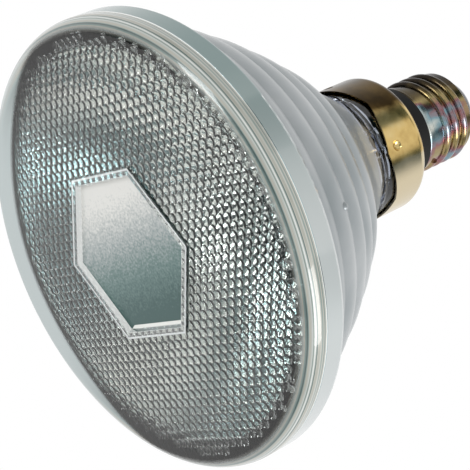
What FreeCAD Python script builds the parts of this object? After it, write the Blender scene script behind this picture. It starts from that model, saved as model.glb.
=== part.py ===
import FreeCAD, Part
import math
import os

import Sketcher

# A pressed-glass reflector lamp (PAR 38) with a skirted screw cap of 27 mm.
# The lamp stands on the flat face of its hexagonal medallion: z = 0 is that face,
# +Z runs along the lamp's axis from the lens to the cap's contact, and +X passes
# through one corner of the hexagon. All sizes are in millimetres.

doc = FreeCAD.newDocument("par_lamp")
sheet = doc.addObject("Spreadsheet::Sheet", "Sizes")

DRIVING = (
    # lens
    ("flange_dia", 122.4, "width over the sealed rim"),
    ("dome_lift", 0.5, "hexagonal frame proud of the lens's top"),
    ("dome_rad", 680.0, "radius of the lens's outer face"),
    ("shoulder_width", 3.6, "rounded shoulder, inwards from the rim's edge"),
    ("shoulder_rise", 4.4, "its height"),
    ("shoulder_round", 5.3, "its radius"),
    ("rim_edge", 2.1, "the lens's straight edge up to the joint"),
    ("lens_wall", 4.0, "lens thickness on the axis"),
    ("lens_inner_rad", 660.0, "radius of the lens's inner face"),
    ("land_width", 6.4, "sealing land, inwards from the rim's edge"),
    ("land_step", 1.4, "step from the land to the inner face"),
    ("hex_corner_rad", 25.4, "hexagon over its corners, halved"),
    ("hex_frame_width", 2.1, "its raised frame, at a corner"),
    ("hex_panel_slope", 0.8, "slope of the frame's inner side"),
    ("hex_root", 0.8, "hexagon frame, sunk into the dome"),
    ("hex_recess", 1.35, "depth of the panel below the frame"),
    # reflector
    ("rim_depth", 6.26, "the reflector's rim, from the joint"),
    ("rim_round", 1.2, "rounding of the rim's back edge"),
    ("rim_step", 4.1, "step from the rim's edge to the bowl"),
    ("bowl_start", 1.66, "height of that step's hollow"),
    ("band_round", 15.0, "radius of each band's bulge"),
    ("cone_end", 1.3, "end of the clear cone behind the mirror's vertex"),
    ("neck_step", 1.0, "end of the cone outside the neck"),
    ("neck_margin", 6.42, "glass neck outside the thread's root"),
    ("neck_turn", 2.6, "hollow between cone and neck"),
    ("mirror_brim", 5.4, "brim of the mirror, from the joint"),
    ("mirror_focal", 12.85, "focal length of the mirror"),
    ("floor_wall", 7.0, "glass between the mirror and the neck's hollow"),
    ("neck_wall", 4.6, "wall of the neck"),
    ("pip_rad", 1.3, "pressing pip on the bowl"),
    ("pip_rise", 14.06, "height of the pip above the rim's back"),
    ("pip_turn", 303.7, "its angle about the axis, in degrees"),
    # leads, ferrules and filament
    ("lead_hole_rad", 2.2, "hole in the glass for a lead"),
    ("hub_wall", 1.4, "glass hub around that hole"),
    ("hub_height", 2.0, "height of the hub"),
    ("seal_gap", 0.1, "between a hub and its ferrule"),
    ("ferrule_wall", 0.4, "sheet of a ferrule"),
    ("ferrule_height", 4.5, "height of a ferrule"),
    ("ferrule_margin", 0.4, "between a ferrule and the neck's wall"),
    ("post_rad", 0.8, "lead post"),
    ("post_end", 1.6, "post beyond its eye"),
    ("eye_gap", 0.05, "play of a leg in its eye"),
    ("coil_rad", 1.3, "filament's helix radius"),
    ("coil_wire_rad", 0.35, "primary coil, as one round wire"),
    ("coil_pitch", 1.4, "pitch of the filament"),
    ("coil_turns", 9.0, "turns of the filament"),
    ("leg_end", 1.4, "leg beyond the middle of its post"),
    ("bead_rad", 1.6, "glass bead between the posts"),
    ("bead_end", 1.9, "bead beyond the middle of a post"),
    ("bead_rise", 8.35, "bead above the filament"),
    ("support_rad", 0.25, "support wire"),
    ("tube_rad", 2.6, "exhaust tube"),
    ("tube_wall", 1.3, "its wall"),
    ("tube_length", 11.5, "its length to the sealed tip"),
    ("wire_rad", 0.35, "lead wires in the cap"),
    # cap
    ("skirt_gap", 0.3, "play between the neck and the skirt"),
    ("skirt_wall", 0.5, "sheet of the skirt"),
    ("skirt_start", 4.34, "skirt's front edge behind the mirror's vertex"),
    ("skirt_length", 15.04, "skirt from front to back"),
    ("skirt_round", 3.0, "rounding at its back"),
    ("ring_step", 1.5, "ring in the skirt's hole, outside its sleeve"),
    ("notch_depth", 3.2, "notch in the front edge"),
    ("notch_turn", 78.4, "angle of the first notch, in degrees"),
    ("dimple_rad", 1.7, "radius of the punch"),
    ("dimple_lift", 0.8, "punch's middle outside the skirt's side"),
    ("dimple_inset", 4.0, "dimple behind the front edge"),
    ("groove_gap", 0.2, "groove in the neck, shorter at each end than a dimple's radius"),
    ("dimple_turn", 30.4, "angle of the first dimple, in degrees"),
    ("ring_flange", 2.0, "flange of the black ring"),
    ("sleeve_wall", 0.6, "sleeve of the black ring"),
    ("sleeve_rise", 7.7, "sleeve beyond the skirt's back"),
    ("shell_root_rad", 12.18, "root of the screw thread"),
    ("thread_height", 1.02, "thread from root to crest"),
    ("shell_wall", 0.3, "sheet of the shell"),
    ("collar_step", 0.42, "smooth collar outside the thread's root"),
    ("foot_width", 2.3, "shell's foot under the ring"),
    ("bead_width", 1.1, "raised bead on the collar"),
    ("thread_pitch", 3.629, "seven turns to 25.4 mm"),
    ("thread_turns", 3.4, "turns of the thread"),
    ("thread_lead", 4.4, "first ridge's middle, from the bead"),
    ("shell_tail", 2.2, "shell beyond the last ridge's middle"),
    ("lip_width", 1.8, "shell's end, folded inwards"),
    ("glass_rise", 5.6, "black glass beyond the shell"),
    ("glass_top_rad", 6.2, "its small end"),
    ("glass_hole_rad", 1.4, "lead's hole in it"),
    ("contact_rad", 4.8, "centre contact"),
    ("contact_wall", 0.5, "its sheet"),
    ("solder_rad", 2.4, "solder on the contact"),
    ("solder_height", 1.2, "height of the solder"),
)

for row, (alias, value, note) in enumerate(DRIVING, start=1):
    sheet.set("A%d" % row, note)
    sheet.set("B%d" % row, str(value))
    sheet.setAlias("B%d" % row, alias)
doc.recompute()

nodes = []


def size(alias):
    """One number of the sheet."""
    return float(sheet.get(alias))


def origin_plane(body, role):
    """The body's own XY, XZ or YZ plane."""
    for item in body.Origin.OriginFeatures:
        if item.Role == role:
            return item
    raise ValueError("no plane " + role)


def new_sketch(body, name, role, lift=None):
    """An empty sketch on one of the body's planes, lifted along the plane's normal."""
    sketch = body.newObject("Sketcher::SketchObject", name)
    sketch.AttachmentSupport = [(origin_plane(body, role), "")]
    sketch.MapMode = "FlatFace"
    if lift:
        sketch.setExpression("AttachmentOffset.Base.z", lift)
    return sketch


def pin_point(sketch, index, end, across, up):
    """Hold one end of a line or arc at two sheet expressions; "0" puts it on the axis."""
    for kind, axis, expression in (("DistanceX", -2, across), ("DistanceY", -1, up)):
        if expression == "0":
            sketch.addConstraint(Sketcher.Constraint("PointOnObject", index, end, axis))
            continue
        start = float(sketch.evalExpression(expression))
        number = sketch.addConstraint(
            Sketcher.Constraint(kind, -1, 1, index, end, start))
        sketch.setExpression("Constraints[%d]" % number, expression)


def outline(sketch, corners):
    """A closed outline. Each corner is (across, up) or (across, up, radius, side): the
    latter joins it to the next corner by an arc that bulges to the given side."""
    places = []
    for corner in corners:
        across = 0.0 if corner[0] == "0" else float(sketch.evalExpression(corner[0]))
        up = 0.0 if corner[1] == "0" else float(sketch.evalExpression(corner[1]))
        places.append(FreeCAD.Vector(across, up, 0))
    count = len(corners)
    starts = []
    for i in range(count):
        first = places[i]
        last = places[(i + 1) % count]
        if len(corners[i]) == 2:
            index = sketch.addGeometry(Part.LineSegment(first, last), False)
            starts.append((index, 1, 2))
            continue
        radius = float(sketch.evalExpression(corners[i][2]))
        chord = last - first
        normal = FreeCAD.Vector(chord.y, -chord.x, 0).normalize() * corners[i][3]
        drop = radius - math.sqrt(radius ** 2 - (chord.Length / 2) ** 2)
        middle = (first + last) * 0.5 + normal * drop
        forward = corners[i][3] > 0
        ends = (first, last) if forward else (last, first)
        index = sketch.addGeometry(Part.Arc(ends[0], middle, ends[1]), False)
        starts.append((index, 1, 2) if forward else (index, 2, 1))
        number = sketch.addConstraint(Sketcher.Constraint("Radius", index, radius))
        sketch.setExpression("Constraints[%d]" % number, corners[i][2])
    for i in range(count):
        index, head, tail = starts[i]
        after, after_head, after_tail = starts[(i + 1) % count]
        sketch.addConstraint(Sketcher.Constraint("Coincident", index, tail, after, after_head))
        pin_point(sketch, index, head, corners[i][0], corners[i][1])


def turned(name, corners):
    """A body turned about +Z from a half section (radius, height)."""
    body = doc.addObject("PartDesign::Body", name)
    sketch = new_sketch(body, name + "_section", "XZ_Plane")
    outline(sketch, corners)
    turn = body.newObject("PartDesign::Revolution", name + "_turned")
    turn.Profile = sketch
    turn.ReferenceAxis = (sketch, ["V_Axis"])
    turn.Angle = 360
    doc.recompute()
    return body


def ring_sketch(body, name, lift, centres, radius):
    """Circles of one radius on a level plane, at (x, y) expressions."""
    sketch = new_sketch(body, name, "XY_Plane", lift)
    for across, up in centres:
        place = FreeCAD.Vector(float(sketch.evalExpression(across)), 0, 0)
        index = sketch.addGeometry(
            Part.Circle(place, FreeCAD.Vector(0, 0, 1), float(sketch.evalExpression(radius))), False)
        number = sketch.addConstraint(Sketcher.Constraint("Radius", index, place.Length or 1.0))
        sketch.setExpression("Constraints[%d]" % number, radius)
        pin_point(sketch, index, 3, across, up)
    return sketch


def hexagon(body, name, lift, corner_radius):
    """A regular hexagon about the axis with one corner on +X."""
    sketch = new_sketch(body, name, "XY_Plane", lift)
    radius = float(sketch.evalExpression(corner_radius))
    guide = sketch.addGeometry(
        Part.Circle(FreeCAD.Vector(0, 0, 0), FreeCAD.Vector(0, 0, 1), radius), True)
    sketch.addConstraint(Sketcher.Constraint("Coincident", guide, 3, -1, 1))
    number = sketch.addConstraint(Sketcher.Constraint("Radius", guide, radius))
    sketch.setExpression("Constraints[%d]" % number, corner_radius)
    corners = [FreeCAD.Vector(radius * math.cos(math.radians(60 * i)),
                              radius * math.sin(math.radians(60 * i)), 0) for i in range(6)]
    sides = [sketch.addGeometry(Part.LineSegment(corners[i], corners[(i + 1) % 6]), False)
             for i in range(6)]
    for i in range(6):
        after = sides[(i + 1) % 6]
        sketch.addConstraint(Sketcher.Constraint("Coincident", sides[i], 2, after, 1))
        sketch.addConstraint(Sketcher.Constraint("PointOnObject", sides[i], 2, guide))
        if i:
            sketch.addConstraint(Sketcher.Constraint("Equal", sides[0], sides[i]))
    sketch.addConstraint(Sketcher.Constraint("PointOnObject", sides[0], 1, -1))
    return sketch


def bound(kind, name, expressions):
    """A Part primitive with its properties bound to the sheet."""
    item = doc.addObject(kind, name)
    for prop, expression in expressions.items():
        item.setExpression(prop, expression)
    return item


def joined(kind, name, base, tool):
    """A boolean of two objects."""
    item = doc.addObject(kind, name)
    item.Base = base
    item.Tool = tool
    return item


def all_joined(name, pieces):
    """One solid made of several."""
    item = doc.addObject("Part::MultiFuse", name)
    item.Shapes = pieces
    item.Refine = True
    return item


def keep(item, label):
    """Name a finished sub-part."""
    item.Label = label
    nodes.append(item)


def bent_wire(name, radius, route):
    """A round wire along straight runs in the XZ plane; it starts level, going up."""
    body = doc.addObject("PartDesign::Body", name)
    path = new_sketch(body, name + "_route", "XZ_Plane")
    previous = None
    for i in range(len(route) - 1):
        ends = [FreeCAD.Vector(0.0 if x == "0" else float(path.evalExpression(x)),
                               float(path.evalExpression(z)), 0) for x, z in route[i:i + 2]]
        index = path.addGeometry(Part.LineSegment(ends[0], ends[1]), False)
        if previous is not None:
            path.addConstraint(Sketcher.Constraint("Coincident", previous, 2, index, 1))
        pin_point(path, index, 1, route[i][0], route[i][1])
        previous = index
    pin_point(path, previous, 2, route[-1][0], route[-1][1])
    section = ring_sketch(body, name + "_section", route[0][1], [(route[0][0], "0")], radius)
    pipe = body.newObject("PartDesign::AdditivePipe", name + "_pipe")
    pipe.Profile = section
    pipe.Spine = path
    pipe.Transition = "Round corner"
    doc.recompute()
    return body


# Heights and radii that follow from the sheet, each as an expression on it.
RIM = "Sizes.flange_dia / 2"
DOME_EDGE = "(%s - Sizes.shoulder_width)" % RIM
DOME_RISE = "(Sizes.dome_lift + Sizes.dome_rad - sqrt(Sizes.dome_rad ^ 2 - %s ^ 2))" % DOME_EDGE
SHOULDER_TOP = "(%s + Sizes.shoulder_rise)" % DOME_RISE
SEAM = "(%s + Sizes.rim_edge)" % SHOULDER_TOP
LAND = "(%s - Sizes.land_width)" % RIM
INNER_EDGE = "(%s - Sizes.land_step)" % LAND
INNER_RISE = "(Sizes.lens_inner_rad - sqrt(Sizes.lens_inner_rad ^ 2 - %s ^ 2))" % INNER_EDGE
RIM_BACK = "(%s + Sizes.rim_depth)" % SEAM
BOWL_RAD = "(%s - Sizes.rim_step)" % RIM
BOWL_TOP = "(%s + Sizes.bowl_start)" % RIM_BACK
BRIM = "(%s + Sizes.mirror_brim)" % SEAM
VERTEX = "(%s + %s ^ 2 / (4 * Sizes.mirror_focal))" % (BRIM, LAND)
FOCUS = "(%s - Sizes.mirror_focal)" % VERTEX
NECK = "(Sizes.shell_root_rad + Sizes.neck_margin)"
CONE_END = "(%s + Sizes.cone_end)" % VERTEX
CONE_RAD = "(%s + Sizes.neck_step)" % NECK
FLOOR = "(%s + Sizes.floor_wall)" % VERTEX
WELL = "(%s - Sizes.neck_wall)" % NECK
HUB = "(Sizes.lead_hole_rad + Sizes.hub_wall)"
FERRULE = "(%s + Sizes.seal_gap + Sizes.ferrule_wall)" % HUB
FERRULE_TOP = "(%s + Sizes.ferrule_height)" % FLOOR
LEAD = "(%s - %s - Sizes.ferrule_margin)" % (WELL, FERRULE)
LEG = "(%s + Sizes.coil_rad)" % FOCUS
BEAD = "(%s + Sizes.bead_rise)" % FOCUS
SKIRT = "(%s + Sizes.skirt_gap + Sizes.skirt_wall)" % NECK
SKIRT_FRONT = "(%s + Sizes.skirt_start)" % VERTEX
SKIRT_BACK = "(%s + Sizes.skirt_length)" % SKIRT_FRONT
DIMPLE = "(%s + Sizes.dimple_inset)" % SKIRT_FRONT
NECK_END = "(%s - Sizes.skirt_wall - Sizes.ring_flange)" % SKIRT_BACK
COLLAR = "(Sizes.shell_root_rad + Sizes.collar_step)"
SLEEVE = "(%s + 0.1 + Sizes.sleeve_wall)" % COLLAR
SLEEVE_TOP = "(%s + Sizes.sleeve_rise)" % SKIRT_BACK
RING_STEP = "(%s + Sizes.ring_step)" % SLEEVE
FOOT = "(%s + Sizes.foot_width)" % COLLAR
RAISED = "(%s + 0.4)" % SLEEVE_TOP
THREAD = "(%s + Sizes.thread_lead)" % RAISED
SHELL_END = "(%s + Sizes.thread_turns * Sizes.thread_pitch + Sizes.shell_tail)" % THREAD
LIP = "(Sizes.shell_root_rad - Sizes.lip_width)"
INSIDE = "(Sizes.shell_root_rad - Sizes.shell_wall)"
GLASS_TOP = "(%s + Sizes.glass_rise)" % SHELL_END
CONTACT_TOP = "(%s + Sizes.contact_wall)" % GLASS_TOP


def number(expression):
    """The value of an expression on the sheet."""
    return float(sheet.evalExpression(expression))


# The lens: a pressed dome with a rounded shoulder, a flat land that is sealed to the
# reflector, and a hexagonal frame that stands proud of the dome around a sunk panel.
lens = turned("lens_body", (
    ("0", "Sizes.dome_lift", "Sizes.dome_rad", 1),
    (DOME_EDGE, DOME_RISE, "Sizes.shoulder_round", 1),
    (RIM, SHOULDER_TOP),
    (RIM, SEAM),
    (LAND, SEAM),
    (INNER_EDGE, "Sizes.dome_lift + Sizes.lens_wall + " + INNER_RISE, "Sizes.lens_inner_rad", -1),
    ("0", "Sizes.dome_lift + Sizes.lens_wall"),
))
raised_frame = lens.newObject("PartDesign::Pad", "hexagon_frame")
raised_frame.Profile = hexagon(lens, "frame_outline", None, "Sizes.hex_corner_rad")
raised_frame.setExpression("Length", "Sizes.hex_recess + Sizes.hex_root")
MOUTH = "Sizes.hex_corner_rad - Sizes.hex_frame_width"
panel = lens.newObject("PartDesign::SubtractiveLoft", "hexagon_panel")
panel.Profile = hexagon(lens, "panel_mouth", None, MOUTH)
panel.Sections = [hexagon(lens, "panel_floor", "Sizes.hex_recess", MOUTH + " - Sizes.hex_panel_slope")]
panel.Ruled = True
lens.Tip = panel
doc.recompute()
keep(lens, "front_lens")

# The reflector: a pressed bowl whose outside steps down in five rounded bands to a
# clear cone and a neck. Each band ends at a share of the way from the neck's radius to
# the bowl's, and of the way from the rim to the neck.
BANDS = ((0.912, 0.105), (0.786, 0.262), (0.641, 0.420), (0.485, 0.566), (0.330, 0.703))
steps = [(BOWL_RAD, BOWL_TOP, "Sizes.band_round", 1)]
for share, way in BANDS:
    steps.append((
        "%s + %s * (%s - %s)" % (CONE_RAD, share, BOWL_RAD, CONE_RAD),
        "%s + %s * (%s - %s)" % (BOWL_TOP, way, CONE_END, BOWL_TOP),
        "Sizes.band_round", 1))
steps[-1] = steps[-1][:2] + ("Sizes.band_round * 4", -1)
bowl = turned("bowl_body", [
    ("0", SEAM),
    (RIM, SEAM),
    (RIM, RIM_BACK + " - Sizes.rim_round", "Sizes.rim_round", 1),
    (RIM + " - Sizes.rim_round", RIM_BACK),
    (BOWL_RAD + " + 0.9", RIM_BACK, "Sizes.bowl_start + 0.6", -1),
] + steps + [
    (CONE_RAD, CONE_END, "Sizes.neck_turn * 1.5", -1),
    (NECK, CONE_END + " + Sizes.neck_turn"),
    (NECK, DIMPLE + " - Sizes.dimple_rad + Sizes.groove_gap", "Sizes.dimple_rad", -1),
    (NECK, DIMPLE + " + Sizes.dimple_rad - Sizes.groove_gap"),
    (NECK, NECK_END),
    (WELL, NECK_END),
    (WELL, FLOOR),
    ("0", FLOOR),
])
LEADS = ((LEAD, "0"), ("-" + LEAD, "0"))
hubs = bowl.newObject("PartDesign::Pad", "ferrule_hubs")
hubs.Profile = ring_sketch(bowl, "hub_circles", FLOOR, LEADS, HUB)
hubs.setExpression("Length", "Sizes.hub_height")
bores = bowl.newObject("PartDesign::Pocket", "lead_bores")
bores.Profile = ring_sketch(bowl, "bore_circles", FLOOR + " + Sizes.hub_height",
                            LEADS + (("0", "0"),), "Sizes.lead_hole_rad")
bores.setExpression("Length", "Sizes.hub_height + Sizes.floor_wall + Sizes.mirror_focal / 2")
bowl.Tip = bores
doc.recompute()
PIP_HEIGHT = "(%s + Sizes.pip_rise)" % RIM_BACK
PIP_REACH = "(%s + 0.828 * (%s - %s))" % (CONE_RAD, BOWL_RAD, CONE_RAD)
pip = bound("Part::Sphere", "pip", {
    "Radius": "Sizes.pip_rad",
    "Placement.Base.x": PIP_REACH + " * cos(Sizes.pip_turn * 1 deg)",
    "Placement.Base.y": PIP_REACH + " * sin(Sizes.pip_turn * 1 deg)",
    "Placement.Base.z": PIP_HEIGHT,
})
pip.Placement.Rotation = FreeCAD.Rotation(FreeCAD.Vector(0, 0, 1), 77)

# The hollow of the bowl: a paraboloid from its vertex to the brim, and a straight wall
# from there out through the joint.
mouth = number(LAND)
vertex = number(VERTEX)
brim = number(BRIM)
below = number(SEAM) - size("lens_wall")
parabola = Part.BezierCurve()
parabola.setPoles([FreeCAD.Vector(0, 0, vertex), FreeCAD.Vector(mouth / 2, 0, vertex),
                   FreeCAD.Vector(mouth, 0, brim)])
walls = Part.makePolygon([FreeCAD.Vector(mouth, 0, brim), FreeCAD.Vector(mouth, 0, below),
                          FreeCAD.Vector(0, 0, below), FreeCAD.Vector(0, 0, vertex)])
section = Part.Face(Part.Wire([parabola.toShape()] + walls.Edges))
cavity = doc.addObject("Part::Feature", "mirror_cavity")
cavity.Shape = section.revolve(FreeCAD.Vector(0, 0, 0), FreeCAD.Vector(0, 0, 1), 360)
blank = joined("Part::Fuse", "bowl_with_pip", bowl, pip)
keep(joined("Part::Cut", "reflector_bowl", blank, cavity), "reflector")

# The exhaust tube, fused over the middle hole and drawn to a closed tip.
TUBE_TOP = "(%s + Sizes.tube_length)" % FLOOR
TUBE_BORE = "Sizes.tube_rad - Sizes.tube_wall"
keep(turned("tube_body", (
    (TUBE_BORE, FLOOR),
    ("Sizes.tube_rad", FLOOR),
    ("Sizes.tube_rad", TUBE_TOP + " - Sizes.tube_rad * 1.5", "Sizes.tube_rad * 3.4", 1),
    ("0.3", TUBE_TOP),
    ("0", TUBE_TOP),
    ("0", TUBE_TOP + " - Sizes.tube_rad * 1.2"),
    (TUBE_BORE, TUBE_TOP + " - Sizes.tube_rad * 2.3"),
)), "exhaust_tube")

# Two metal ferrules sealed over the hubs, each with a post brazed into it. The post's
# end has an eye for the filament's leg.
for side, sign in (("left", "-"), ("right", "")):
    cup = bound("Part::Cylinder", "cup_" + side, {
        "Radius": FERRULE,
        "Height": "Sizes.ferrule_height",
        "Placement.Base.x": sign + LEAD,
        "Placement.Base.z": FLOOR,
    })
    inside = bound("Part::Cylinder", "cup_inside_" + side, {
        "Radius": FERRULE + " - Sizes.ferrule_wall",
        "Height": "Sizes.ferrule_height - Sizes.ferrule_wall + 1",
        "Placement.Base.x": sign + LEAD,
        "Placement.Base.z": FLOOR + " - 1",
    })
    keep(joined("Part::Cut", "ferrule_cut_" + side, cup, inside), "ferrule_" + side)
    rod = bound("Part::Cylinder", "rod_" + side, {
        "Radius": "Sizes.post_rad",
        "Height": FERRULE_TOP + " - Sizes.ferrule_wall - " + LEG + " + Sizes.post_end",
        "Placement.Base.x": sign + LEAD,
        "Placement.Base.z": LEG + " - Sizes.post_end",
    })
    eye = bound("Part::Cylinder", "eye_" + side, {
        "Radius": "Sizes.coil_wire_rad + Sizes.eye_gap",
        "Height": "Sizes.post_rad * 4",
        "Placement.Base.x": sign + LEAD + " - Sizes.post_rad * 2",
        "Placement.Base.z": LEG,
    })
    eye.Placement.Rotation = FreeCAD.Rotation(FreeCAD.Vector(0, 1, 0), 90)
    keep(joined("Part::Cut", "post_cut_" + side, rod, eye), "post_" + side)

# The filament: a coil across the axis at the mirror's focus, with a straight leg
# through the eye of each post.
HALF_COIL = "(Sizes.coil_pitch * Sizes.coil_turns / 2)"
coil = doc.addObject("PartDesign::Body", "coil_body")
wire_section = new_sketch(coil, "coil_section", "XZ_Plane")
reach = number(HALF_COIL)
level = number(FOCUS)
axis_line = wire_section.addGeometry(
    Part.LineSegment(FreeCAD.Vector(-reach, level, 0), FreeCAD.Vector(reach, level, 0)), True)
pin_point(wire_section, axis_line, 1, "-" + HALF_COIL, FOCUS)
pin_point(wire_section, axis_line, 2, HALF_COIL, FOCUS)
round_wire = wire_section.addGeometry(
    Part.Circle(FreeCAD.Vector(-reach, level + size("coil_rad"), 0),
                FreeCAD.Vector(0, 0, 1), size("coil_wire_rad")), False)
held = wire_section.addConstraint(
    Sketcher.Constraint("Radius", round_wire, size("coil_wire_rad")))
wire_section.setExpression("Constraints[%d]" % held, "Sizes.coil_wire_rad")
pin_point(wire_section, round_wire, 3, "-" + HALF_COIL, LEG)
helix = coil.newObject("PartDesign::AdditiveHelix", "coil_helix")
helix.Profile = wire_section
helix.ReferenceAxis = (wire_section, ["Axis0"])
helix.Mode = "pitch-turns-angle"
helix.setExpression("Pitch", "Sizes.coil_pitch")
helix.setExpression("Turns", "Sizes.coil_turns")
doc.recompute()
legs = [coil]
LEG_END = "(%s + Sizes.leg_end)" % LEAD
for side, sign, start in (("left", "-", "-" + LEG_END), ("right", "", HALF_COIL)):
    leg = bound("Part::Cylinder", "leg_" + side, {
        "Radius": "Sizes.coil_wire_rad",
        "Height": LEG_END + " - " + HALF_COIL,
        "Placement.Base.x": start,
        "Placement.Base.z": LEG,
    })
    leg.Placement.Rotation = FreeCAD.Rotation(FreeCAD.Vector(0, 1, 0), 90)
    elbow = bound("Part::Sphere", "elbow_" + side, {
        "Radius": "Sizes.coil_wire_rad * 1.3",
        "Placement.Base.x": sign + HALF_COIL,
        "Placement.Base.z": LEG,
    })
    legs += [leg, elbow]
keep(all_joined("filament_joined", legs), "filament")

# A glass bead bridges the posts and holds a wire whose loop carries the coil's middle.
BEAD_END = "(%s + Sizes.bead_end)" % LEAD
rod = bound("Part::Cylinder", "bead_rod", {
    "Radius": "Sizes.bead_rad",
    "Height": BEAD_END + " * 2",
    "Placement.Base.x": "-" + BEAD_END,
    "Placement.Base.z": BEAD,
})
rod.Placement.Rotation = FreeCAD.Rotation(FreeCAD.Vector(0, 1, 0), 90)
for side, sign in (("left", "-"), ("right", "")):
    hole = bound("Part::Cylinder", "bead_hole_" + side, {
        "Radius": "Sizes.post_rad + Sizes.eye_gap",
        "Height": "Sizes.bead_rad * 4",
        "Placement.Base.x": sign + LEAD,
        "Placement.Base.z": BEAD + " - Sizes.bead_rad * 2",
    })
    rod = joined("Part::Cut", "bead_cut_" + side, rod, hole)
keep(rod, "bridge_bead")
LOOP = "(Sizes.coil_rad + Sizes.coil_wire_rad + Sizes.support_rad + Sizes.eye_gap)"
stem = bound("Part::Cylinder", "support_stem", {
    "Radius": "Sizes.support_rad",
    "Height": BEAD + " - Sizes.bead_rad - " + FOCUS + " - " + LOOP,
    "Placement.Base.z": FOCUS + " + " + LOOP,
})
loop = bound("Part::Torus", "support_loop", {
    "Radius1": LOOP,
    "Radius2": "Sizes.support_rad",
    "Placement.Base.z": FOCUS,
})
loop.Placement.Rotation = FreeCAD.Rotation(FreeCAD.Vector(0, 1, 0), 90)
keep(all_joined("support_joined", [stem, loop]), "support_wire")

# Lead wires from the ferrules: one to the centre contact, one to the shell's inside.
keep(bent_wire("centre_lead_body", "Sizes.wire_rad", (
    ("-" + LEAD, FERRULE_TOP),
    ("-" + LEAD, TUBE_TOP + " + 2"),
    ("0", TUBE_TOP + " + 10"),
    ("0", CONTACT_TOP),
)), "centre_lead")
SIDE_RUN = COLLAR + " - Sizes.shell_wall - 0.4 - Sizes.wire_rad"
SIDE_END = NECK_END + " + 7"
keep(bent_wire("side_lead_body", "Sizes.wire_rad", (
    (LEAD, FERRULE_TOP),
    (LEAD, SIDE_END + " - 6"),
    (SIDE_RUN, SIDE_END + " - 3"),
    (SIDE_RUN, SIDE_END),
)), "side_lead")
side_solder = bound("Part::Cylinder", "side_solder_pad", {
    "Radius": "0.9",
    "Height": "0.36",
    "Placement.Base.x": SIDE_RUN + " + Sizes.wire_rad",
    "Placement.Base.z": SIDE_END + " - 1",
})
side_solder.Placement.Rotation = FreeCAD.Rotation(FreeCAD.Vector(0, 1, 0), 90)
keep(side_solder, "side_solder")

# The skirt: a drawn brass cup. Four shallow notches shape its front edge, and between
# them four punched dimples hold it in the neck's groove.
SKIRT_INSIDE = SKIRT + " - Sizes.skirt_wall"
SHEET_IN = SKIRT_BACK + " - Sizes.skirt_wall"
skirt = turned("skirt_body", (
    (SKIRT_INSIDE, SKIRT_FRONT),
    (SKIRT, SKIRT_FRONT),
    (SKIRT, SKIRT_BACK + " - Sizes.skirt_round", "Sizes.skirt_round", 1),
    (SKIRT + " - Sizes.skirt_round", SKIRT_BACK),
    (RING_STEP + " + 0.1", SKIRT_BACK),
    (RING_STEP + " + 0.1", SHEET_IN),
    (SKIRT + " - Sizes.skirt_round", SHEET_IN, "Sizes.skirt_round - Sizes.skirt_wall", -1),
    (SKIRT_INSIDE, SKIRT_BACK + " - Sizes.skirt_round"),
))
before_notch = skirt.Shape.Volume
NOTCH_WIDTH = SKIRT + " * 0.78"
notch_section = new_sketch(skirt, "notch_section", "YZ_Plane")
outline(notch_section, (
    ("-" + NOTCH_WIDTH, SKIRT_FRONT + " - 0.1"),
    (NOTCH_WIDTH, SKIRT_FRONT + " - 0.1"),
    ("0", SKIRT_FRONT + " + Sizes.notch_depth"),
))
notch = skirt.newObject("PartDesign::Pocket", "notch")
notch.Profile = notch_section
notch.Reversed = True
notch.setExpression("Length", SKIRT + " * 1.1")
doc.recompute()
around = skirt.newObject("PartDesign::PolarPattern", "notches")
around.Originals = [notch]
around.Axis = (notch_section, ["V_Axis"])
around.Angle = 360
around.Occurrences = 4
skirt.Tip = around
doc.recompute()
if skirt.Shape.Volume > before_notch * 0.99:
    raise RuntimeError("the skirt's notches cut nothing")
skirt.Placement = FreeCAD.Placement(
    FreeCAD.Vector(0, 0, 0), FreeCAD.Rotation(FreeCAD.Vector(0, 0, 1), size("notch_turn")))
bumps = [skirt]
hollows = []
PUNCH_REACH = "(%s + Sizes.dimple_lift)" % SKIRT
for i in range(4):
    turn = "(Sizes.dimple_turn + %d) * 1 deg" % (90 * i)
    for kind, radius in (("bump", "Sizes.dimple_rad + Sizes.skirt_wall * 0.7"),
                         ("hollow", "Sizes.dimple_rad")):
        ball = bound("Part::Sphere", "%s_%d" % (kind, i + 1), {
            "Radius": radius,
            "Placement.Base.x": "%s * cos(%s)" % (PUNCH_REACH, turn),
            "Placement.Base.y": "%s * sin(%s)" % (PUNCH_REACH, turn),
            "Placement.Base.z": DIMPLE,
        })
        (bumps if kind == "bump" else hollows).append(ball)
full_skirt = all_joined("skirt_bumped", bumps)
limit = bound("Part::Cylinder", "skirt_limit", {"Radius": SKIRT, "Height": SKIRT_BACK})
trimmed = joined("Part::Common", "skirt_trimmed", full_skirt, limit)
punches = doc.addObject("Part::MultiFuse", "punches")
punches.Shapes = hollows
keep(joined("Part::Cut", "skirt_punched", trimmed, punches), "skirt")

# The black ring that keeps the live shell apart from the skirt. Its flange is held
# between the glass neck's end and the skirt's back face, and its sleeve covers the
# shell's foot.
keep(turned("insulator_body", (
    (FOOT + " + 0.1", NECK_END),
    (NECK, NECK_END),
    (SKIRT + " - Sizes.skirt_round - 0.1", SHEET_IN),
    (RING_STEP, SHEET_IN),
    (RING_STEP, SKIRT_BACK + " + 0.6"),
    (SLEEVE, SKIRT_BACK + " + 2.1"),
    (SLEEVE, SLEEVE_TOP),
    (COLLAR + " + 0.1", SLEEVE_TOP),
    (COLLAR + " + 0.1", NECK_END + " + Sizes.shell_wall + 0.1"),
    (FOOT + " + 0.1", NECK_END + " + Sizes.shell_wall + 0.1"),
)), "skirt_insulator")

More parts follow.
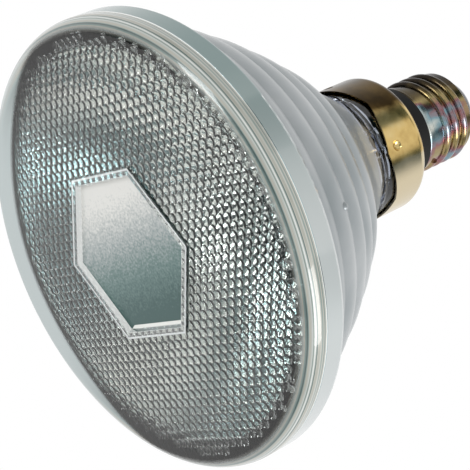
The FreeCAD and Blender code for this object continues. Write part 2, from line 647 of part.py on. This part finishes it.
# The screw shell: a foot held under the ring, a smooth collar with a raised bead, the
# rolled thread and an end folded in over the black glass.
shell = turned("shell_body", (
    (COLLAR + " - Sizes.shell_wall", NECK_END),
    (FOOT, NECK_END),
    (FOOT, NECK_END + " + Sizes.shell_wall"),
    (COLLAR, NECK_END + " + Sizes.shell_wall"),
    (COLLAR, RAISED, "Sizes.bead_width * 0.56", 1),
    (COLLAR, RAISED + " + Sizes.bead_width"),
    (COLLAR, THREAD + " - Sizes.thread_pitch * 0.54"),
    ("Sizes.shell_root_rad", THREAD + " - Sizes.thread_pitch * 0.40"),
    ("Sizes.shell_root_rad", SHELL_END + " - Sizes.lip_width / 2", "Sizes.lip_width * 1.2", 1),
    (LIP, SHELL_END),
    (LIP, SHELL_END + " - Sizes.shell_wall"),
    (INSIDE, SHELL_END + " - Sizes.lip_width / 2 - Sizes.shell_wall"),
    (INSIDE, THREAD + " - Sizes.thread_pitch * 0.44"),
    (COLLAR + " - Sizes.shell_wall", THREAD + " - Sizes.thread_pitch * 0.58"),
))
CREST = "(Sizes.shell_root_rad + Sizes.thread_height)"
TURN_IN = 8


def thread_section(name, inset, foot, turn_in):
    """Half section of the thread's ridge, moved in by the sheet's thickness and started
    some degrees later, so that the hollow behind the ridge stays closed at its ends."""
    sketch = new_sketch(shell, name, "XZ_Plane")
    sketch.AttachmentOffset = FreeCAD.Placement(
        FreeCAD.Vector(0, size("thread_pitch") * turn_in / 360, 0),
        FreeCAD.Rotation(FreeCAD.Vector(0, 1, 0), turn_in))
    low = THREAD + " - Sizes.thread_pitch * 0.34 + " + inset
    high = THREAD + " + Sizes.thread_pitch * 0.34 - " + inset
    outline(sketch, (
        (foot, low),
        ("Sizes.shell_root_rad - " + inset, low, "Sizes.thread_pitch * 0.36", 1),
        (CREST + " - " + inset, THREAD, "Sizes.thread_pitch * 0.36", 1),
        ("Sizes.shell_root_rad - " + inset, high),
        (foot, high),
    ))
    return sketch


def thread(kind, name, profile, turns):
    """A right-handed helix of the profile about the lamp's axis."""
    run = shell.newObject(kind, name)
    run.Profile = profile
    run.ReferenceAxis = (profile, ["V_Axis"])
    run.Mode = "pitch-turns-angle"
    run.setExpression("Pitch", "Sizes.thread_pitch")
    run.setExpression("Turns", turns)
    shell.Tip = run
    doc.recompute()


thread("PartDesign::AdditiveHelix", "thread_ridge",
       thread_section("ridge_section", "0", "Sizes.shell_root_rad - 0.15", 0),
       "Sizes.thread_turns")
thread("PartDesign::SubtractiveHelix", "thread_hollow",
       thread_section("hollow_section", "Sizes.shell_wall", INSIDE + " - 0.3", TURN_IN),
       "Sizes.thread_turns - %d / 360" % (2 * TURN_IN))
keep(shell, "screw_shell")

# Black glass in the shell's end, the centre contact on it and the solder over its hole.
keep(turned("glass_body", (
    ("Sizes.glass_hole_rad", SHELL_END + " - 4"),
    (INSIDE + " - 0.02", SHELL_END + " - 4"),
    (INSIDE + " - 0.02", SHELL_END + " - Sizes.lip_width / 2 - Sizes.shell_wall - 0.05"),
    (LIP + " - 0.1", SHELL_END + " - Sizes.shell_wall - 0.05"),
    (LIP + " - 0.1", SHELL_END + " + 0.3", "Sizes.glass_rise * 1.6", 1),
    ("Sizes.glass_top_rad", GLASS_TOP),
    ("Sizes.glass_hole_rad", GLASS_TOP),
)), "contact_insulator")
keep(turned("contact_body", (
    ("Sizes.wire_rad + 0.4", GLASS_TOP),
    ("Sizes.contact_rad", GLASS_TOP),
    ("Sizes.contact_rad", GLASS_TOP + " + Sizes.contact_wall * 0.5"),
    ("Sizes.contact_rad - 0.4", CONTACT_TOP),
    ("Sizes.wire_rad + 0.4", CONTACT_TOP),
)), "centre_contact")
keep(turned("solder_body", (
    ("0", CONTACT_TOP),
    ("Sizes.solder_rad", CONTACT_TOP,
     "(Sizes.solder_rad ^ 2 + Sizes.solder_height ^ 2) / (2 * Sizes.solder_height)", 1),
    ("0", CONTACT_TOP + " + Sizes.solder_height"),
)), "centre_solder")

doc.recompute()
for item in doc.Objects:
    bad = [word for word in item.State if word in ("Invalid", "Error")]
    if bad:
        raise RuntimeError("%s: %s" % (item.Name, item.State))
for item in nodes:
    if item.Shape.isNull() or not item.Shape.isValid() or len(item.Shape.Solids) != 1:
        raise RuntimeError("%s: %d solids, valid %s" % (
            item.Label, len(item.Shape.Solids), item.Shape.isValid()))

os.makedirs("parts", exist_ok=True)
for item in nodes:
    item.Shape.exportStep("parts/%s.step" % item.Label)
    box = item.Shape.BoundBox
    print("%-18s %9.1f mm3  z %6.2f to %6.2f" % (
        item.Label, item.Shape.Volume, box.ZMin, box.ZMax))
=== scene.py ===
import math

import bpy
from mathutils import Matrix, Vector


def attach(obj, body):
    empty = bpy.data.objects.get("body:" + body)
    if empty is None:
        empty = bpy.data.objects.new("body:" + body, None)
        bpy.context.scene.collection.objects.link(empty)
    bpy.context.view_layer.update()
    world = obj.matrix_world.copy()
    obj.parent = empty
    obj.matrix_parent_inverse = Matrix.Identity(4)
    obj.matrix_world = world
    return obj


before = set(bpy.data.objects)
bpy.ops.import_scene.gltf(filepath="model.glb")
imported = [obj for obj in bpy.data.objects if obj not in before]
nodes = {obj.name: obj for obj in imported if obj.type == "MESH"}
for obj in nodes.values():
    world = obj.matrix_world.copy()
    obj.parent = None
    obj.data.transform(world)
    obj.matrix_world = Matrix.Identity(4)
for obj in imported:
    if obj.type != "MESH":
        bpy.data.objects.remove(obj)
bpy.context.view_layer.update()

# The stage: a pale floor under the lamp and a white surround with dark and bright cards,
# which the glass and the mirror show. The lamp stands on its lens, and the photograph looks
# up at it, so the floor is seen only from above and lets everything else through.


class Value:
    """A number in a material, so that sums on it become Math nodes."""

    def __init__(self, surface, socket):
        self.surface = surface
        self.socket = socket

    def _with(self, operation, first, second=None):
        values = [first, second] if second is not None else [first]
        return self.surface.value("ShaderNodeMath", dict(enumerate(values)), operation=operation)

    def __add__(self, other):
        return self._with("ADD", self, other)

    __radd__ = __add__

    def __sub__(self, other):
        return self._with("SUBTRACT", self, other)

    def __rsub__(self, other):
        return self._with("SUBTRACT", other, self)

    def __mul__(self, other):
        return self._with("MULTIPLY", self, other)

    __rmul__ = __mul__

    def __truediv__(self, other):
        return self._with("DIVIDE", self, other)

    def __lt__(self, other):
        return self._with("LESS_THAN", self, other)

    def __gt__(self, other):
        return self._with("GREATER_THAN", self, other)

    def size(self):
        return self._with("ABSOLUTE", self)

    def root(self):
        return self._with("SQRT", self)

    def cut(self):
        """Held between 0 and 1."""
        held = self._with("ADD", self, 0.0)
        held.socket.node.use_clamp = True
        return held

    def angle_from(self, across):
        """The angle round the lamp's axis, in radians, of a place along and across."""
        return self._with("ARCTAN2", self, across)

    def rise(self, start, end):
        """0 before start, 1 after end, smooth between them."""
        return self.surface.value(
            "ShaderNodeMapRange", {"Value": self, "From Min": start, "From Max": end},
            interpolation_type="SMOOTHSTEP")


class Surface:
    """A material, or the world, and the nodes in it."""

    def __init__(self, name, world=False):
        home = bpy.data.worlds if world else bpy.data.materials
        self.data = home.new(name)
        self.data.use_nodes = True
        self.tree = self.data.node_tree
        self.tree.nodes.clear()
        kind = "ShaderNodeOutputWorld" if world else "ShaderNodeOutputMaterial"
        self.output = self.tree.nodes.new(kind)

    def node(self, kind, inputs=None, stops=None, **settings):
        """Add a node: its settings, its ramp's stops, then its sockets' values or links."""
        made = self.tree.nodes.new(kind)
        for key, setting in settings.items():
            setattr(made, key, setting)
        if stops:
            ramp = made.color_ramp
            while len(ramp.elements) < len(stops):
                ramp.elements.new(0.5)
            for element, (place, colour) in zip(ramp.elements, stops):
                element.position = place
                element.color = tuple(colour) + (1.0,)
        for key, given in (inputs or {}).items():
            if isinstance(given, Value):
                given = given.socket
            if isinstance(given, bpy.types.NodeSocket):
                self.tree.links.new(given, made.inputs[key])
            elif made.inputs[key].type == "RGBA" and len(given) == 3:
                made.inputs[key].default_value = tuple(given) + (1.0,)
            else:
                made.inputs[key].default_value = given
        return made

    def value(self, kind, inputs=None, out=0, **settings):
        """A node whose output is used as a number."""
        return Value(self, self.node(kind, inputs, **settings).outputs[out])

    def place(self):
        """Object coordinates as three numbers, in metres."""
        where = self.node("ShaderNodeTexCoord").outputs["Object"]
        parts = self.node("ShaderNodeSeparateXYZ", {0: where}).outputs
        return where, Value(self, parts[0]), Value(self, parts[1]), Value(self, parts[2])

    def noise(self, scale, detail=2.0, where=None, **more):
        """A cloud between 0 and 1."""
        inputs = {"Scale": scale, "Detail": detail}
        inputs.update(more)
        if where is not None:
            inputs["Vector"] = where
        return self.value("ShaderNodeTexNoise", inputs)

    def ramp(self, value, stops):
        """A colour for each value."""
        return self.node("ShaderNodeValToRGB", {0: value}, stops=stops).outputs[0]

    def mix(self, factor, first, second):
        """A colour between two."""
        return self.node(
            "ShaderNodeMix", {0: factor, 6: first, 7: second}, data_type="RGBA").outputs[2]

    def principled(self, inputs):
        """The shader of a solid finish, with these sockets set."""
        return self.node("ShaderNodeBsdfPrincipled", inputs).outputs[0]

    def over(self, factor, under, top):
        """One shader laid over another where the factor is 1."""
        return self.node("ShaderNodeMixShader", {0: factor, 1: under, 2: top}).outputs[0]

    def finish(self, shader):
        """Connect the final shader."""
        self.tree.links.new(shader, self.output.inputs["Surface"])
        return self.data


def dress(piece, material):
    """Give a piece one material."""
    piece.data.materials.clear()
    piece.data.materials.append(material)


def clear_selection():
    """Nothing selected, nothing active."""
    for item in bpy.context.selected_objects:
        item.select_set(False)
    bpy.context.view_layer.objects.active = None


bpy.context.scene.view_settings.view_transform = "Standard"
sky = Surface("pale_surround", world=True)
direction = sky.node("ShaderNodeTexCoord").outputs["Generated"]
ray = sky.node("ShaderNodeLightPath").outputs
camera_ray = Value(sky, ray["Is Camera Ray"])
glossy_ray = Value(sky, ray["Is Glossy Ray"])
through_ray = Value(sky, ray["Is Transmission Ray"])


def toward(way):
    """How far a direction of the surround points this way, 1 where it points straight."""
    return sky.value("ShaderNodeVectorMath", {0: direction, 1: way}, out=1, operation="DOT_PRODUCT")


BEHIND_LAMP = (-0.28, 0.74, 0.61)
BRIGHT_CARD = (-0.62, -0.50, -0.60)
DIM_CARD = (-0.05, -0.53, -0.85)
cards = sky.ramp(sky.noise(3.4, 0.0, direction, Distortion=0.3), (
    (0.28, (0.03, 0.06, 0.06)),
    (0.38, (0.20, 0.25, 0.25)),
    (0.42, (0.82, 0.82, 0.80)),
    (0.47, (1.0, 0.99, 0.97)),
))
cards = sky.mix(toward(BRIGHT_CARD).rise(0.86, 0.95), cards, (1.0, 0.98, 0.94))
cards = sky.mix(toward(DIM_CARD).rise(0.87, 0.97) * 0.9, cards, (0.06, 0.13, 0.13))
white_part = (toward(BEHIND_LAMP).rise(0.0, 0.35) + camera_ray).cut()
room = sky.mix(white_part, cards, (1.0, 1.0, 1.0))
sees_room = (camera_ray + glossy_ray + through_ray).cut()
backdrop = sky.mix(sees_room, (0.80, 0.80, 0.80), room)
bpy.context.scene.world = sky.data
sky.finish(sky.node("ShaderNodeBackground", {"Color": backdrop, "Strength": 1.0}).outputs[0])

FLOOR_SIZE = 3.0
FLOOR_DROP = 0.0002
clear_selection()
bpy.ops.mesh.primitive_plane_add(size=FLOOR_SIZE, location=(0, 0, -FLOOR_DROP))
floor = bpy.context.object
floor.name = "floor"
ground = Surface("floor_paint")
seen = ground.node("ShaderNodeLightPath").outputs["Is Camera Ray"]
under = ground.node("ShaderNodeNewGeometry").outputs["Backfacing"]
shown = Value(ground, seen) * (1.0 - Value(ground, under))
paint = ground.node("ShaderNodeBsdfDiffuse", {"Color": (0.93, 0.93, 0.93)}).outputs[0]
nothing = ground.node("ShaderNodeBsdfTransparent").outputs[0]
dress(floor, ground.finish(ground.over(shown, nothing, paint)))

# The lens: a dish of clear glass, pressed with its hexagonal frame, its sunk frosted panel
# and the stipple inside, and sealed to the bowl in the flame. Light is bent on its outer
# face and at the stipple, so its inner face lets light through under the domes.
GLASS_TINT = (0.93, 0.965, 0.955)
INNER_TOP = 0.0045
INNER_RADIUS = 0.660
INNER_WALL = 0.0536
INNER_SKIN = 0.001
SEAM_LEVEL = 0.0092
HEXAGON_COS = 0.866
HEXAGON_SIN = 0.5
PANEL_FLAT = 0.0196
PANEL_LEVELS = (0.0012, 0.0015)
PANEL_WIDTH = 0.038
LIT_FLAT = 0.0187
LIT_ACROSS = 0.0113
FRAME_FLAT = 0.02205
BEVEL_FLATS = (0.01945, 0.0203)
EDGE_FLATS = (0.0214, 0.0219)
RIM_START = 0.0575
RIM_END = 0.0600
SHADED_WIDTH = 0.0090
# Painted reflection: the way across the frosted panel in which its colour turns from dark teal to
# white.
REFLECTION_ACROSS = -0.91
REFLECTION_ALONG = -0.41


def clear_glass(surface, tint, roughness, alpha=1.0):
    """Glass that light passes through, bent as in common pressed glass."""
    return surface.principled({
        "Base Color": tint, "Roughness": roughness, "IOR": 1.5, "Transmission Weight": 1.0,
        "Alpha": alpha,
    })


# The window: clear glass, with the frame's bevel and edge as bright lines.
glass = Surface("lens_glass")
where, across, along, up = glass.place()
spread = (across * across + along * along).root()
slant = across.size() * HEXAGON_COS + along.size() * HEXAGON_SIN
hexagon = glass.value("ShaderNodeMath", {0: slant, 1: along.size()}, operation="MAXIMUM")
in_frame = (hexagon < FRAME_FLAT) * (up < PANEL_LEVELS[0])
bevel = in_frame * (hexagon > BEVEL_FLATS[0]) * (hexagon < BEVEL_FLATS[1])
frame_edge = in_frame * (hexagon > EDGE_FLATS[0]) * (hexagon < EDGE_FLATS[1])
above = up - spread * spread / (2 * INNER_RADIUS) - INNER_TOP
inner_face = (above > -INNER_SKIN) * (spread < INNER_WALL)
pane = clear_glass(glass, GLASS_TINT, 0.0, 1.0 - inner_face)
shine = glass.principled({"Base Color": (0.80, 0.83, 0.83), "Metallic": 1.0, "Roughness": 0.08})
bright_lines = (in_frame * 0.15 + bevel * 0.6 + frame_edge * 0.7).cut()
window = glass.over(bright_lines, pane, shine)

# The sunk panel: frosted, with a painted reflection from white to dark teal across it, and a
# painted highlight along its border at two sides.
in_panel = (hexagon < PANEL_FLAT) * (up > PANEL_LEVELS[0]) * (up < PANEL_LEVELS[1])
grains = glass.noise(1900.0, 2.0, where)
# Painted reflection: the panel's colour runs from dark teal to white across it, with frost grain on
# top.
drift = (across * REFLECTION_ACROSS + along * REFLECTION_ALONG) / PANEL_WIDTH + 0.5
frost_and_painted_reflection = glass.ramp(drift + (grains - 0.5) * 0.55, (
    (0.12, (0.02, 0.075, 0.07)),
    (0.38, (0.11, 0.19, 0.18)),
    (0.60, (0.34, 0.38, 0.38)),
    (0.88, (0.72, 0.72, 0.69)),
))
# Painted highlight: a pale line along the panel's border at two sides.
painted_border_highlight = (hexagon > LIT_FLAT) * (across > LIT_ACROSS)
frost_and_painted_reflection = glass.mix(painted_border_highlight, frost_and_painted_reflection, (0.82, 0.83, 0.80))
frosted = glass.principled({
    "Base Color": frost_and_painted_reflection, "Metallic": 0.2, "Roughness": 0.28, "Coat Weight": 0.5,
    "Coat Roughness": 0.1,
})
middle = glass.over(in_panel, window, frosted)

# The thick rim: painted reflections as fine pale and dark lines round it, plainer and wider on the
# shaded side. It is bright where it is seen from inside the glass, and at the seam.
fine_lines = glass.value(
    "ShaderNodeTexNoise", {"W": up, "Scale": 1300.0, "Detail": 2.0}, noise_dimensions="1D")
painted_reflection_lines = glass.ramp(fine_lines, (
    (0.36, (0.06, 0.09, 0.085)),
    (0.45, (0.19, 0.26, 0.25)),
    (0.52, (0.40, 0.36, 0.30)),
    (0.59, (0.32, 0.37, 0.36)),
    (0.68, (0.60, 0.62, 0.60)),
))
# Painted shade: on the shaded side the rim's painted lines give way to one plain grey-teal.
shaded_side = (along * 0.82 - across * 0.57).rise(0.015, 0.050)
painted_rim_reflections = glass.mix(shaded_side, painted_reflection_lines, (0.42, 0.48, 0.48))
edge = glass.principled({
    "Base Color": painted_rim_reflections, "Metallic": 0.08, "Roughness": 0.3, "Coat Weight": 0.8,
    "Coat Roughness": 0.02,
})
seal = glass.principled({"Base Color": (0.88, 0.92, 0.91), "Metallic": 1.0, "Roughness": 0.3})
from_inside = Value(glass, glass.node("ShaderNodeNewGeometry").outputs["Backfacing"])
on_seam = up > SEAM_LEVEL
outer = glass.over((from_inside + on_seam).cut(), edge, seal)
shoulder = (spread + shaded_side * SHADED_WIDTH).rise(RIM_START, RIM_END)
rim = (shoulder + on_seam * (spread > INNER_WALL)).cut()
dress(nodes["front_lens"], glass.finish(glass.over(rim, middle, outer)))

# The stipple: rows of low round domes pressed into the inside of the lens in a honeycomb,
# each a closed six-sided plug that runs a little into its neighbours. They stop behind the
# panel, and at a scalloped outer edge that shows through the clear shoulder.
PITCH = 0.00266
ROW = PITCH * math.sqrt(3) / 2
CORNER = PITCH / math.sqrt(3)
DOME_HEIGHT = 0.00055
SINK = 0.0003
ROWS_REACH = 0.058
STIPPLE_EDGE = 0.0556
PANEL_REACH = 0.0150
PANEL_TURNS = [math.radians(turn) for turn in (30, 90, 150)]
FOOT_DROP = 0.01
SMOOTH_UP_TO = math.radians(32)


def dome_centre(place):
    """The middle of the dome, in the honeycomb, that is nearest to a place."""
    centres = []
    row = round(place.y / ROW)
    for near_row in (row - 1, row, row + 1):
        shift = 0.5 * (near_row % 2)
        column = round(place.x / PITCH - shift) + shift
        centres.append((column * PITCH, near_row * ROW))
    return min(centres, key=lambda spot: (place.x - spot[0]) ** 2 + (place.y - spot[1]) ** 2)


# One dome, and from it rows of domes that cover the whole lens.
clear_selection()
bpy.ops.mesh.primitive_circle_add(
    vertices=6, radius=CORNER, fill_type="TRIFAN", rotation=(0, 0, math.radians(30)))
stipple = bpy.context.object
stipple.name = "lens_stipple"
bpy.ops.object.transform_apply(location=True, rotation=True, scale=True)
bpy.ops.object.mode_set(mode="EDIT")
bpy.ops.mesh.select_all(action="SELECT")
bpy.ops.mesh.subdivide(number_cuts=2)
bpy.ops.object.mode_set(mode="OBJECT")
for point in stipple.data.vertices:
    point.co.z = DOME_HEIGHT * (1 - (point.co.x ** 2 + point.co.y ** 2) / CORNER ** 2)
half_count = int(ROWS_REACH / ROW / 2)
for offset, count in (
    ((PITCH / 2, ROW, 0), 2),
    ((PITCH, 0, 0), 4 * half_count),
    ((0, 2 * ROW, 0), 2 * half_count + 2),
):
    more = stipple.modifiers.new("rows", "ARRAY")
    more.count = count
    more.use_relative_offset = False
    more.use_constant_offset = True
    more.constant_offset_displace = offset
    bpy.ops.object.modifier_apply(modifier=more.name)
bpy.ops.object.mode_set(mode="EDIT")
bpy.ops.mesh.select_all(action="SELECT")
bpy.ops.transform.translate(value=(-2 * half_count * PITCH, -2 * half_count * ROW, 0))

# Whole domes go where they lie outside the scalloped edge or well behind the panel.
bpy.ops.mesh.select_all(action="DESELECT")
bpy.ops.object.mode_set(mode="OBJECT")
bpy.context.tool_settings.mesh_select_mode = (False, False, True)
for face in stipple.data.polygons:
    x, y = dome_centre(face.center)
    reach = max(abs(x * math.cos(turn) + y * math.sin(turn)) for turn in PANEL_TURNS)
    face.select = math.hypot(x, y) > STIPPLE_EDGE or reach < PANEL_REACH
bpy.ops.object.mode_set(mode="EDIT")
bpy.ops.mesh.delete(type="FACE")

# Each dome gets a foot a little inside the glass, and all are laid on the lens's inner curve.
bpy.ops.mesh.select_all(action="SELECT")
bpy.ops.mesh.extrude_region_move(TRANSFORM_OT_translate={"value": (0, 0, -FOOT_DROP)})
bpy.ops.object.mode_set(mode="OBJECT")
for point in stipple.data.vertices:
    if point.co.z < -FOOT_DROP / 2:
        point.co.z = -SINK
    rise = INNER_RADIUS - math.sqrt(INNER_RADIUS ** 2 - point.co.x ** 2 - point.co.y ** 2)
    point.co.z += INNER_TOP + rise
bpy.ops.object.mode_set(mode="EDIT")
bpy.ops.mesh.select_all(action="SELECT")
bpy.ops.mesh.normals_make_consistent(inside=False)
bpy.ops.object.mode_set(mode="OBJECT")
bpy.ops.object.shade_smooth_by_angle(angle=SMOOTH_UP_TO)

# The domes bend light, and their foot in the glass doesn't.
FOOT_SKIN = 0.0001
beads = Surface("stipple_glass")
across, along, up = beads.place()[1:]
above = up - (across * across + along * along) / (2 * INNER_RADIUS) - INNER_TOP
dress(stipple, beads.finish(clear_glass(beads, GLASS_TINT, 0.0, above > -FOOT_SKIN)))
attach(stipple, "root")

# The reflector: a bowl of pressed glass with a film of aluminium laid on its inside. From the back
# the film makes the bowl and the cone satin silver. The neck behind the film is smoky clear glass,
# and the flange at the seam is thick glass, painted pale grey on its lit side and dark teal on its
# shaded side.
MIRROR_FOCAL = 0.01285
MIRROR_VERTEX = 0.07326
FILM_SKIN = 0.0003
BACK_SKIN = 0.001
MOUTH_RADIUS = 0.0550
BRIM_LEVEL = 0.0149
JOINT_LEVEL = 0.0096
FLANGE_RADIUS = 0.0545
FLANGE_BACK = 0.0172
SATIN_START = 0.0165
SATIN_END = (0.0700, 0.0725)
SMOKE_START = (0.0660, 0.0700)
bowl = Surface("silvered_glass")
where, across, along, up = bowl.place()
square = across * across + along * along
behind = square / (4 * MIRROR_FOCAL) + up - MIRROR_VERTEX
reach = square.root()
on_seam = up < JOINT_LEVEL
on_wall = (reach < MOUTH_RADIUS) * (up < BRIM_LEVEL)
on_mirror = ((behind.size() < FILM_SKIN) + on_wall + on_seam).cut()
outside = behind > BACK_SKIN
on_back = outside * up.rise(SATIN_START, FLANGE_BACK) * (1.0 - up.rise(*SATIN_END))
on_flange = (reach > FLANGE_RADIUS) * (up < FLANGE_BACK) * outside * (1.0 - on_seam)
smoky = bowl.mix(up.rise(*SMOKE_START), GLASS_TINT, (0.42, 0.45, 0.52))
neck_glass = clear_glass(bowl, smoky, 0.02)
# Painted shade: the mirror film is darker and teal on one side, so the lens looks darker there.
painted_shade_side = (across * 0.86 - along * 0.5).rise(-0.020, 0.038)
film_with_painted_shade = bowl.mix(painted_shade_side, (0.98, 0.96, 0.94), (0.30, 0.43, 0.46))
film = bowl.principled({"Base Color": film_with_painted_shade, "Roughness": 0.0, "Metallic": 1.0})
shade = bowl.noise(45.0, 3.0, where)
silver = bowl.ramp(shade, ((0.3, (0.19, 0.22, 0.23)), (0.7, (0.32, 0.34, 0.35))))
satin = bowl.principled({
    "Base Color": silver, "Roughness": 0.38, "Metallic": 0.5, "Coat Weight": 0.5,
    "Coat Roughness": 0.06,
})
azimuth = along.angle_from(across)
# Painted light and shade: the flange is pale grey on its lit side and dark teal on its shaded side.
painted_pale_side = azimuth.rise(-1.9, -0.9) * (1.0 - azimuth.rise(1.6, 2.2))
flange_lit_and_shaded = bowl.mix(painted_pale_side, (0.15, 0.22, 0.215), (0.42, 0.45, 0.45))
flange = bowl.principled({
    "Base Color": flange_lit_and_shaded, "Roughness": 0.3, "Metallic": 0.25, "Coat Weight": 0.8,
    "Coat Roughness": 0.03,
})
inner = bowl.over(on_mirror, neck_glass, film)
backed = bowl.over(on_back, inner, satin)
dress(nodes["reflector"], bowl.finish(bowl.over(on_flange, backed, flange)))

# Exhaust tube and bridge bead: clear glass worked in the flame. The tube is sealed into
# the reflector's floor and melted shut, and the bead holds the two posts apart.
plain = Surface("worked_glass")
plain.finish(clear_glass(plain, GLASS_TINT, 0.02))
for name in ("exhaust_tube", "bridge_bead"):
    dress(nodes[name], plain.data)

# Metal of the mount: cups sealed to the glass floor, nickel posts in them, the tungsten
# filament and its support wire, and copper leads that drops of solder join to the cap.


def metal(name, colour, roughness, worn=0.08, grain=900.0):
    """A plain metal with faint uneven polish."""
    made = Surface(name)
    where = made.place()[0]
    cloud = made.noise(grain, 3.0, where)
    tone = made.mix(cloud, colour, tuple(c * (1 - worn * 2) for c in colour))
    return made.finish(made.principled({
        "Base Color": tone, "Roughness": cloud * worn + roughness, "Metallic": 1.0,
    }))


ferrule_metal = metal("ferrule_metal", (0.45, 0.43, 0.40), 0.35)
post_metal = metal("post_metal", (0.70, 0.68, 0.64), 0.2)
tungsten = metal("tungsten", (0.28, 0.28, 0.30), 0.35)
copper = metal("lead_copper", (0.75, 0.42, 0.25), 0.3)
solder = metal("solder", (0.62, 0.62, 0.60), 0.35, worn=0.15)
for name, material in (
    ("ferrule_left", ferrule_metal), ("ferrule_right", ferrule_metal),
    ("post_left", post_metal), ("post_right", post_metal),
    ("filament", tungsten), ("support_wire", tungsten),
    ("centre_lead", copper), ("side_lead", copper),
    ("side_solder", solder), ("centre_solder", solder),
):
    dress(nodes[name], material)

# The skirt: drawn brass sheet, held in the neck's groove by punched dimples, with stains in clouds.
# Painted light makes it bright and pale on one side, and painted shade makes it dark brown on the
# other. The contact is stamped brass.
brass = Surface("skirt_brass")
where, across, along = brass.place()[:3]
cloud = brass.noise(120.0, 4.0, where)
azimuth = along.angle_from(across)
gold = brass.ramp(cloud, (
    (0.30, (0.40, 0.26, 0.08)),
    (0.50, (0.66, 0.48, 0.19)),
    (0.75, (0.74, 0.60, 0.32)),
))
# Painted light: the brass turns pale on one side.
painted_pale_side = (azimuth + cloud * 0.1).rise(-0.80, -0.72)
lit_brass = brass.mix(painted_pale_side, gold, (0.64, 0.55, 0.38))
# Painted shade: away from the bright side the brass is dark brown, with stains in clouds.
painted_shade_brass = brass.ramp(cloud, ((0.35, (0.030, 0.018, 0.005)), (0.65, (0.095, 0.058, 0.015))))
painted_bright_side = (azimuth + cloud * 0.5).rise(-1.45, -1.15) * (1.0 - azimuth.rise(1.9, 2.3))
tone = brass.mix(painted_bright_side, painted_shade_brass, lit_brass)
dress(nodes["skirt"], brass.finish(brass.principled({
    "Base Color": tone, "Roughness": cloud * 0.15 + 0.12, "Metallic": 1.0,
})))
dress(nodes["centre_contact"], metal("contact_brass", (0.72, 0.55, 0.30), 0.3))

# The black parts of the cap: the dull moulded ring that keeps the live shell apart from
# the skirt, and the glossy glass in the shell's end, which holds the contact.
black = Surface("black_ring")
dress(nodes["skirt_insulator"], black.finish(black.principled({
    "Base Color": (0.008, 0.008, 0.008), "Roughness": 0.6, "Specular IOR Level": 0.15,
})))
end_glass = Surface("black_glass")
dress(nodes["contact_insulator"], end_glass.finish(end_glass.principled({
    "Base Color": (0.01, 0.01, 0.014), "Roughness": 0.08,
})))

# The screw shell: sheet rolled to a thread, with a thin nickel plate. Heat has turned it brown,
# olive, violet and blue in patches, and painted shade makes it darkest on its shaded side.
plate = Surface("plated_shell")
where, across, along = plate.place()[:3]
long_way = plate.node("ShaderNodeMapping", {"Vector": where, "Scale": (1.0, 1.0, 0.5)}).outputs[0]
azimuth = along.angle_from(across)
# Painted light and shade: the tint patches are paler on the lit side and dark brown on the shaded
# side.
lit_side = azimuth.rise(-2.2, -1.2) * (1.0 - azimuth.rise(1.9, 2.4))
cloud = plate.noise(70.0, 4.0, long_way) + lit_side * 0.34 - 0.31
tone = plate.ramp(cloud, (
    (0.20, (0.025, 0.020, 0.016)),
    (0.34, (0.10, 0.075, 0.035)),
    (0.44, (0.33, 0.26, 0.12)),
    (0.50, (0.28, 0.13, 0.14)),
    (0.56, (0.20, 0.32, 0.37)),
    (0.66, (0.60, 0.62, 0.58)),
))
dress(nodes["screw_shell"], plate.finish(plate.principled({
    "Base Color": tone, "Roughness": cloud * 0.2 + 0.1, "Metallic": 1.0,
})))

# Soft studio lamps: one in front of the lens and to its side, and a broader one behind it
# on the other side. Both point at the middle of the bulb.
LAMPS_AIM = Vector((0, 0, 0.06))
for name, place, width, power in (
    ("key_lamp", (-0.62, -0.62, -0.85), 0.45, 5.5),
    ("fill_lamp", (1.1, -0.3, 0.2), 0.7, 9.0),
):
    bpy.ops.object.light_add(type="AREA", location=place)
    lamp = bpy.context.object
    lamp.name = name
    lamp.data.size = width
    lamp.data.energy = power
    lamp.rotation_euler = (LAMPS_AIM - Vector(place)).to_track_quat("-Z", "Y").to_euler()

# The photograph's camera: it looks up at the lens from below, a little turned. Its place
# was fitted to the photograph together with the lamp's main sizes.
bpy.ops.object.camera_add(
    location=(0.14937, -0.38234, -0.27298),
    rotation=(math.radians(150.381), math.radians(-46.506), math.radians(-31.513)))
camera = bpy.context.object
camera.data.lens = 149.0
camera.data.sensor_width = 36.0
camera.data.clip_start = 0.01
camera.data.clip_end = 20.0
bpy.context.scene.camera = camera
